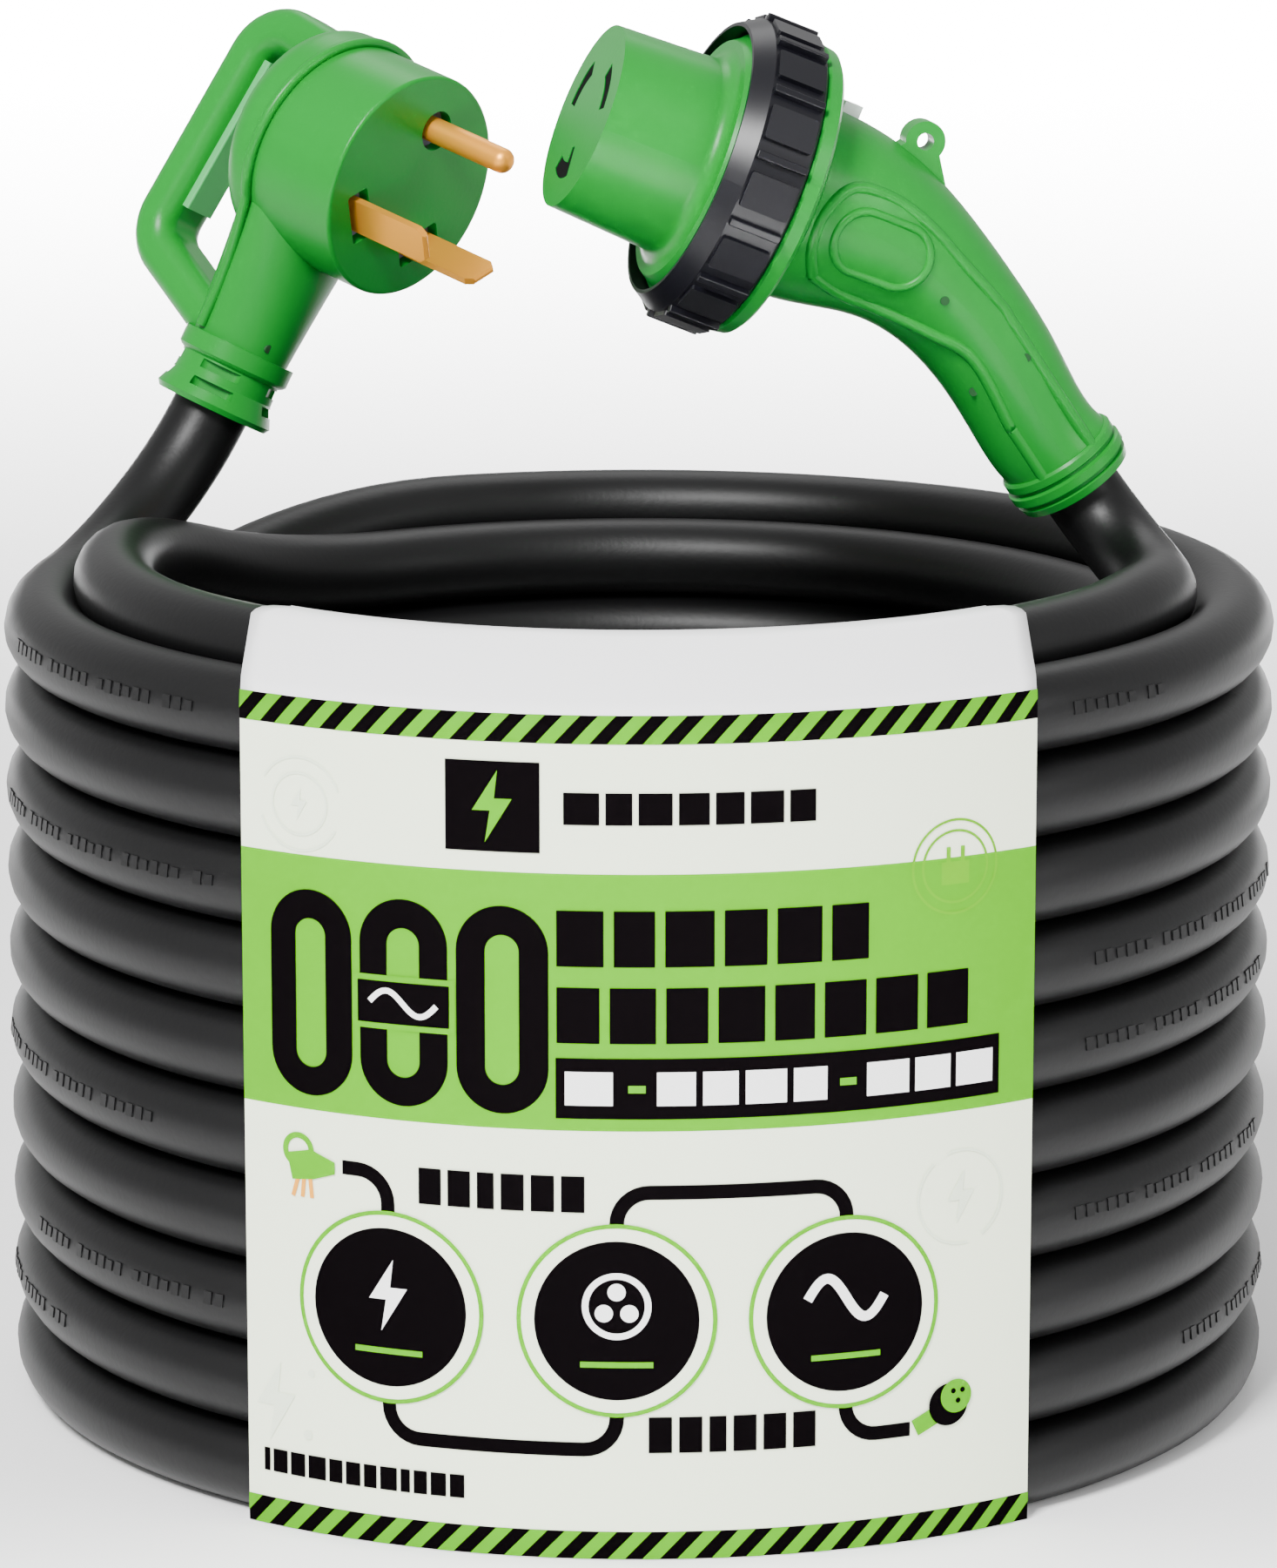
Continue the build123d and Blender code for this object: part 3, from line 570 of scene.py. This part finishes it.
def faint_icons():
    """The pale pictures behind the print."""
    bolt(-69.5, 150, 3.4, print_faint, 3)
    ring_shape(-69.5, 150, 6.2, 0.5, print_faint, 3)
    ring_shape(-69.5, 150, 9.4, 0.5, print_faint, 3, 20, 150, 24)
    ring_shape(-69.5, 150, 9.4, 0.5, print_faint, 3, 200, 330, 24)
    ring_shape(64.5, 138, 9.4, 0.5, print_faint_green, 3)
    ring_shape(64.5, 138, 7.2, 0.5, print_faint_green, 3)
    box_shape(61.4, 134.4, 67.6, 139.0, print_faint_green, 3)
    stroke([(62.9, 139), (62.9, 142)], 0.9, print_faint_green, 3)
    stroke([(66.1, 139), (66.1, 142)], 0.9, print_faint_green, 3)
    bolt(66.5, 70.5, 5.6, print_faint, 3)
    ring_shape(66.5, 70.5, 9.6, 0.5, print_faint, 3, -60, 110, 30)
    ring_shape(66.5, 70.5, 9.6, 0.5, print_faint, 3, 130, 280, 30)
    bolt(-76.5, 26.5, 8.5, print_faint, 3)
    disc_shape(-68.0, 33.5, 0.8, print_faint, 3, 16)
    disc_shape(-69.0, 20.5, 1.0, print_faint, 3, 16)


PRINT_FOOT = 0.3  # low edge of the print, mm
BAND_LOW, BAND_HIGH = 88.2, 139.8  # the green band
DISC_X = (-50.6, -4.3, 41.6)  # centres of the three dark discs
DISC_Z = 49.6
CAPTION = [4.6, 4.6, 3.4, 4.6, 4.6, 4.6]
SMALL_PRINT = [1.4, 3.4, 3.4, 4.0, 3.0, 3.2, 2.8, 3.6, 2.0, 2.8, 3.2, 3.0]
HEAD_ROW = (-14.6, 149.6, [7.0, 5.2, 6.6, 6.0, 5.6, 6.6, 5.2], 6.4, print_dark, 4, 1.2)
BAND_ROWS = [  # left, foot, widths, height, material, layer and gap, mm
    (-16.0, 121.3, [9.2, 8.0, 9.6, 8.4, 9.0, 7.6], 11.2, print_dark, 4, 2.0),
    (-16.0, 105.9, [8.4, 9.0, 8.2, 9.2, 8.0, 8.6, 9.0, 9.2], 11.2, print_dark, 4, 2.0),
]
BAR_ROWS = [  # the light blocks in the dark bar, as above
    (-14.4, 93.4, [9.4], 6.8, print_white, 5, 0.0),
    (-2.0, 96.0, [3.4], 1.5, print_green, 5, 0.0),
    (3.6, 93.4, [7.6, 7.0, 8.2, 6.8], 6.8, print_white, 5, 1.4),
    (40.0, 96.0, [3.4], 1.5, print_green, 5, 0.0),
    (45.6, 93.4, [9.0, 7.8, 8.4], 6.8, print_white, 5, 1.3),
]
CAPTION_ROWS = [  # beside the printed cord and at the foot, as above
    (-44.0, 71.6, CAPTION, 7.4, print_dark, 4, 1.4),
    (2.0, 22.4, CAPTION, 7.4, print_dark, 4, 1.4),
    (-79.5, 11.6, SMALL_PRINT, 4.8, print_dark, 4, 0.8),
]


def printed_cord():
    """The printed cord that runs from disc to disc."""
    left, middle, right = DISC_X
    line = [(-60.5, 77.3), (left, 77.3), (left, 23.0), (middle, 23.0)]
    line += [(middle, 75.8), (right, 75.8), (right, 23.8), (55.5, 23.8)]
    stroke(rounded_line(line, 6.5), 2.9, print_dark, 3)


def make_print():
    """All that is printed on the sleeve's front."""
    box_shape(-HALF_W, PRINT_FOOT, HALF_W, PRINT_TOP, print_cream, 1)
    hazard(PRINT_TOP - 5.6, PRINT_TOP)
    hazard(PRINT_FOOT, 6.0)
    box_shape(-HALF_W, BAND_LOW, HALF_W, BAND_HIGH, print_green, 2)
    box_shape(-38.0, 143.8, -19.2, 161.8, print_dark, 4)
    bolt(-28.6, 152.8, 7.2, print_green, 5)
    block_row(*HEAD_ROW)
    big_mark()
    for row in BAND_ROWS:
        block_row(*row)
    box_shape(-16.2, 90.7, 75.0, 102.9, print_dark, 4)
    for row in BAR_ROWS:
        block_row(*row)
    printed_cord()
    for x, kind in zip(DISC_X, ("bolt", "cores", "wave")):
        disc_shape(x, DISC_Z, 19.4, print_cream, 4)
        ring_shape(x, DISC_Z, 19.4, 0.9, print_green, 5)
        disc_shape(x, DISC_Z, 16.3, print_dark, 5)
        disc_icon(x, DISC_Z, kind)
    little_plug(-68.5, 76.6)
    little_connector(62.5, 27.0)
    for row in CAPTION_ROWS:
        block_row(*row)
    faint_icons()
    for (name, layer), (sheet, made, _) in sorted(print_meshes.items()):
        data = bpy.data.meshes.new(f"{name}_{layer}")
        sheet.to_mesh(data)
        sheet.free()
        data.materials.append(made)
        piece = bpy.data.objects.new(f"{name}_{layer}", data)
        bpy.context.scene.collection.objects.link(piece)
        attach(piece, ROOT)


make_print()

# ------------------------------------------------------------------ small solids
def box_between(name, centre, axes, sizes, made, body):
    """A small rounded box from its centre, three directions and full sizes in metres."""
    verts = []
    for a in (-0.5, 0.5):
        for b in (-0.5, 0.5):
            for c in (-0.5, 0.5):
                corner = centre.copy()
                for axis, size, part in zip(axes, sizes, (a, b, c)):
                    corner += axis * size * part
                verts.append(corner)
    faces = [(0, 1, 3, 2), (4, 6, 7, 5), (0, 4, 5, 1), (2, 3, 7, 6), (0, 2, 6, 4), (1, 5, 7, 3)]
    piece = new_mesh(name, verts, faces, made)
    soften(piece, 0.0003)
    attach(piece, body)
    return piece


def bead(name, points, radius, made, closed=False):
    """A thin raised line through points."""
    data = bpy.data.curves.new(name, "CURVE")
    data.dimensions = "3D"
    spline = data.splines.new("POLY")
    spline.points.add(len(points) - 1)
    for point, place in zip(spline.points, points):
        point.co = (*place, 1)
    spline.use_cyclic_u = closed
    data.bevel_depth = radius
    data.bevel_resolution = 3
    data.use_fill_caps = True
    data.materials.append(made)
    piece = bpy.data.objects.new(name, data)
    bpy.context.scene.collection.objects.link(piece)
    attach(piece, ROOT)
    return piece


# ----------------------------------------------------------------- locking ring
RING_R = 32.4
RING_FRONT = -28.6
RING_BACK = -40.0
RING_RIBS = 14
RIB_PROUD = 0.3  # how far a rib's middle stands out from the ring, mm
RIB_TALL = 0.0026
RIB_WIDE = 0.0017


def make_ring_ribs():
    """Narrow raised ribs between the ring's pads."""
    middle = (RING_FRONT + RING_BACK) / 2
    for i in range(RING_RIBS):
        turn = 2 * math.pi * (i + 0.5) / RING_RIBS
        away = CONN_X * math.cos(turn) + CONN_UP * math.sin(turn)
        along = CONN_OUT.cross(away)
        centre = conn_at(0, 0, middle) + away * (RING_R + RIB_PROUD) / 1000
        sizes = (RIB_TALL, RIB_WIDE, (RING_FRONT - RING_BACK) / 1000)
        rib = box_between(f"ring_rib_{i}", centre, (away, along, CONN_OUT), sizes, ring_black, RING)


make_ring_ribs()

# ---------------------------------------------------------------- connector body
BODY_LINE = [  # out, up and radius of the bent body, then of the straight handle, mm
    (-46.0, 0.0, 21.4),
    (-57.0, 0.0, 20.2),
    (-69.0, -1.0, 17.9),
    (-81.0, -4.4, 15.2),
]
for along, radius in ((87.0, 13.1), (100.0, 12.5), (118.5, 12.3)):
    foot_up = HANDLE_OFF * 1000 * HANDLE_COS - along * HANDLE_SIN
    foot_out = -HANDLE_OFF * 1000 * HANDLE_SIN - along * HANDLE_COS
    BODY_LINE.append((foot_out, foot_up, radius))


def body_place(up, out):
    """Distance from the bent body's centre line and its radius there, mm."""
    here = Vector((out, up))
    best = None
    for (o0, u0, r0), (o1, u1, r1) in zip(BODY_LINE, BODY_LINE[1:]):
        start = Vector((o0, u0))
        run = Vector((o1, u1)) - start
        share = min(max((here - start).dot(run) / run.length_squared, 0.0), 1.0)
        away = (here - start - run * share).length
        if best is None or away < best[0]:
            best = (away, r0 + (r1 - r0) * share)
    return best


def on_body(up, out, lift=0.0):
    """World point on the viewer's side of the connector's body."""
    away, radius = body_place(up, out)
    return conn_at(math.sqrt(max(radius**2 - away**2, 0.5)) + lift, up, out)


def smooth_line(points, per=8):
    """Points along a smooth line through a few places in the side view."""
    count = len(points)
    line = []
    for i in range(count - 1):
        p0, p1, p2, p3 = (points[min(max(i + k, 0), count - 1)] for k in (-1, 0, 1, 2))
        for j in range(per):
            t = j / per
            place = []
            for a, b, c, d in zip(p0, p1, p2, p3):
                bend = 2 * b + (c - a) * t
                bend += (2 * a - 5 * b + 4 * c - d) * t * t + (3 * b - a - 3 * c + d) * t**3
                place.append(bend / 2)
            line.append(tuple(place))
    line.append(points[-1])
    return line


def handle_line(across, start, end, count=10):
    """Side-view places along the handle, at a distance from its axis."""
    places = []
    for i in range(count + 1):
        along = start + (end - start) * i / count
        up = (HANDLE_OFF * 1000 + across) * HANDLE_COS - along * HANDLE_SIN
        out = -(HANDLE_OFF * 1000 + across) * HANDLE_SIN - along * HANDLE_COS
        places.append((up, out))
    return places


def stadium_line(centre, half_long, half_wide, count=40):
    """Side-view places round a long pad with round ends."""
    places = []
    for i in range(count):
        turn = 2 * math.pi * (i + 0.5) / count
        reach = math.copysign(half_long, math.cos(turn)) + half_wide * math.cos(turn)
        places.append((centre[0] + half_wide * math.sin(turn), centre[1] + reach))
    return places


PAD_CENTRE = (-2.4, -65.3)  # up and out of the face, mm
PAD_HALF_LONG = 4.6
PAD_HALF_WIDE = 6.6
PAD_SINK = 0.25  # how deep the rim's middle lies in the body, mm
CHANNEL_SINK = 0.55
MOUND_FOOT = (-12.5, -54.0)
MOUND_OVER = [(-6.5, -50.4), (1.0, -50.2), (7.4, -54.5), (8.2, -64.0), (5.6, -74.0), (1.2, -83.5)]
MOUND_UNDER = [(-14.2, -62.0), (-14.4, -72.0), (-15.2, -84.0), (-17.0, -95.0)]
CHANNEL_OVER = 5.6  # the channel's two edges beside the handle's axis, mm
CHANNEL_UNDER = -6.4
CHANNEL_END = 119.0


def make_thumb_pad():
    """The long pad for the thumb, and the mound round it that runs on as a channel."""
    pad = stadium_line(PAD_CENTRE, PAD_HALF_LONG, PAD_HALF_WIDE)
    rim = [on_body(up, out, -PAD_SINK) for up, out in pad]
    bead("thumb_pad_rim", rim, 0.0010, green, closed=True)
    over = [MOUND_FOOT] + MOUND_OVER + handle_line(CHANNEL_OVER, 82, CHANNEL_END)
    under = [MOUND_FOOT] + MOUND_UNDER + handle_line(CHANNEL_UNDER, 105, CHANNEL_END)
    for name, line in (("over", over), ("under", under)):
        ridge = [on_body(up, out, -CHANNEL_SINK) for up, out in smooth_line(line, 5)]
        bead(f"channel_{name}", ridge, 0.0014, green)


make_thumb_pad()

MOULD_HOLES = ((-7.6, -83.2), (-12.6, -105.4), (-23.4, -98.4))  # up and out, mm
HOLE_R = 0.0010


def make_mould_holes():
    """Small moulding holes in the connector's side, drawn as discs of painted shade."""
    for i, (up, out) in enumerate(MOULD_HOLES):
        centre = on_body(up, out, 0.05)
        disc = bead(f"mould_hole_{i}", [centre - CONN_X * 0.0004, centre], HOLE_R, hole_dark)


make_mould_holes()

SHADOW_R = 16.5  # wide enough for the slots, mm
SHADOW_OUT = -0.2


def make_slot_shadow():
    """Painted shade: a black disc just behind the connector's face, showing as shade in its slots.
    """
    count = 48
    verts = []
    for i in range(count):
        turn = 2 * math.pi * i / count
        verts.append(conn_at(SHADOW_R * math.cos(turn), SHADOW_R * math.sin(turn), SHADOW_OUT))
    disc = new_mesh("slot_shadow", verts, [tuple(range(count))], slot_black, smooth=False)
    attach(disc, ROOT)


make_slot_shadow()

# -------------------------------------------------------------------- plug looks
RIM_R = 25.9
RIM_TOP = 24.0  # seam top and foot above the face centre, mm
RIM_FOOT = -47.0
RIM_TOP_OUT = -21.6
RIM_FOOT_OUT = -27.6
NECK_EDGE = [(-18.0, 18.9), (-27.0, 15.4), (-36.0, 12.9), (RIM_FOOT, 11.3)]  # up, half width
HEAD_ARC = (-38.0, 218.0)  # where the rim runs round the head, degrees
NECK_HOLE = (-4.0, -45.6, 10.75)  # right, up and out from the neck's axis, mm


def seam_out(up):
    """How far behind the face the seam between the plug's halves lies, mm."""
    share = (RIM_TOP - up) / (RIM_TOP - RIM_FOOT)
    return RIM_TOP_OUT + (RIM_FOOT_OUT - RIM_TOP_OUT) * share


def make_plug_rim():
    """The raised rim along the seam, round the head and down both sides of the neck."""
    side = [(edge, up) for up, edge in NECK_EDGE]
    head = []
    for i in range(33):
        turn = math.radians(HEAD_ARC[0] + (HEAD_ARC[1] - HEAD_ARC[0]) * i / 32)
        head.append((RIM_R * math.cos(turn), RIM_R * math.sin(turn)))
    line = side[::-1] + head + [(-x, up) for x, up in side]
    points = [plug_at(x, up, seam_out(up)) for x, up in smooth_line(line, 4)]
    bead("plug_rim", points, 0.0012, green)


def make_neck_hole():
    """The small moulding hole in the front of the plug's neck, drawn as a disc of painted shade."""
    x, up, out = NECK_HOLE
    centre = plug_at(x, up, out - PLUG_NECK_BACK * 1000)
    hole = bead("neck_hole", [centre - PLUG_OUT * 0.0012, centre], HOLE_R, hole_dark)


make_plug_rim()
make_neck_hole()

# ------------------------------------------------------------------ jacket marks
JACKET_ROWS = [  # turn counted from the floor, first and last angle in degrees
    (9, 196, 228),
    (7, 190, 230),
    (4, 186, 222),
    (2, 200, 231),
    (1, 184, 206),
    (9, 309, 320),
    (6, 312, 350),
    (5, 311, 346),
    (3, 310, 344),
    (1, 326, 352),
]
TICK_FACES = [(0, 1, 3, 2), (4, 5, 7, 6), (0, 1, 5, 4), (2, 3, 7, 6), (0, 2, 6, 4), (1, 3, 7, 5)]
TICK_STEP = 1.35  # degrees
TICK_HALF_WIDE = 0.45
TICK_LEAN = 0.12  # how far up the turn's side the ticks sit, radians
WORD = 7  # every seventh tick is left out, as a gap between words


def make_jacket_marks():
    """Rows of small raised ticks round the outer turns, where the jacket is printed."""
    verts = []
    faces = []
    for turn_index, start, end in JACKET_ROWS:
        angle = start
        tick = 0
        while angle < end:
            tick += 1
            angle += TICK_STEP
            if tick % WORD:
                tall = 0.0026 if tick % 3 else 0.0020
                add_tick(verts, faces, angle, turn_index, tall)
    marks = new_mesh("jacket_marks", verts, faces, jacket, smooth=False)
    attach(marks, ROOT)


def add_tick(verts, faces, angle, turn_index, tall):
    """One raised tick on the outside of a turn."""
    height = CORD_R + turn_index * TURN_PITCH
    start = len(verts)
    for lift in (-0.0002, 0.00022):
        for side in (-TICK_HALF_WIDE, TICK_HALF_WIDE):
            for up in (-1, 1):
                lean = TICK_LEAN + up * tall / 2 / CORD_R
                turn = math.radians(angle + side)
                radius = OUTER_R + (CORD_R + lift) * math.cos(lean)
                up_at = height + (CORD_R + lift) * math.sin(lean)
                verts.append((radius * math.cos(turn), radius * math.sin(turn), up_at))
    for face in TICK_FACES:
        faces.append(tuple(start + i for i in face))


make_jacket_marks()


# -------------------------------------------------------------- floor and lights
CAMERA_PLACE = (0, -1.428, 0.4465)
CAMERA_AIM = (0, 0, 0.1276)
CAMERA_LENS = 157.3
COIL_MIDDLE = (0, 0, 0.13)
SKY = 0.85


def make_floor():
    """A plain pale floor."""
    bpy.ops.mesh.primitive_plane_add(size=30, location=(0, 0, 0))
    floor = bpy.context.object
    floor.name = "floor"
    floor.data.materials.append(material("floor", (0.97, 0.97, 0.97), 0.8))


def make_light(name, place, size, energy, aim=COIL_MIDDLE, spread=180):
    """A soft square light aimed at the coil, or elsewhere."""
    data = bpy.data.lights.new(name, "AREA")
    data.size = size
    data.energy = energy
    data.spread = math.radians(spread)
    lamp = bpy.data.objects.new(name, data)
    lamp.location = place
    way = Vector(aim) - Vector(place)
    lamp.rotation_euler = way.to_track_quat("-Z", "Y").to_euler()
    bpy.context.scene.collection.objects.link(lamp)


def make_camera():
    """The photograph's viewpoint."""
    data = bpy.data.cameras.new("camera")
    data.sensor_width = 36
    data.sensor_fit = "AUTO"
    data.lens = CAMERA_LENS
    camera = bpy.data.objects.new("camera", data)
    camera.location = CAMERA_PLACE
    aim = Vector(CAMERA_AIM) - camera.location
    camera.rotation_euler = aim.to_track_quat("-Z", "Y").to_euler()
    bpy.context.scene.collection.objects.link(camera)
    bpy.context.scene.camera = camera


def make_world(strength):
    """An even pale sky."""
    world = bpy.data.worlds.new("world")
    world.use_nodes = True
    sky = world.node_tree.nodes["Background"]
    sky.inputs["Color"].default_value = (1, 1, 1, 1)
    sky.inputs["Strength"].default_value = strength
    bpy.context.scene.world = world


make_floor()
make_light("key", (-0.6, -1.4, 1.6), 0.6, 96)
make_light("fill", (1.4, -0.9, 0.8), 0.6, 9)
make_light("rim", (0.2, 1.3, 1.7), 0.9, 8)
make_light("floor_wash", (0, 3.0, 1.8), 2.6, 420, aim=(0, 3.0, 0), spread=80)
make_light("front_wash", (0, -0.5, 0.72), 0.45, 9, aim=(0, -0.5, 0), spread=32)
make_world(SKY)
make_camera()
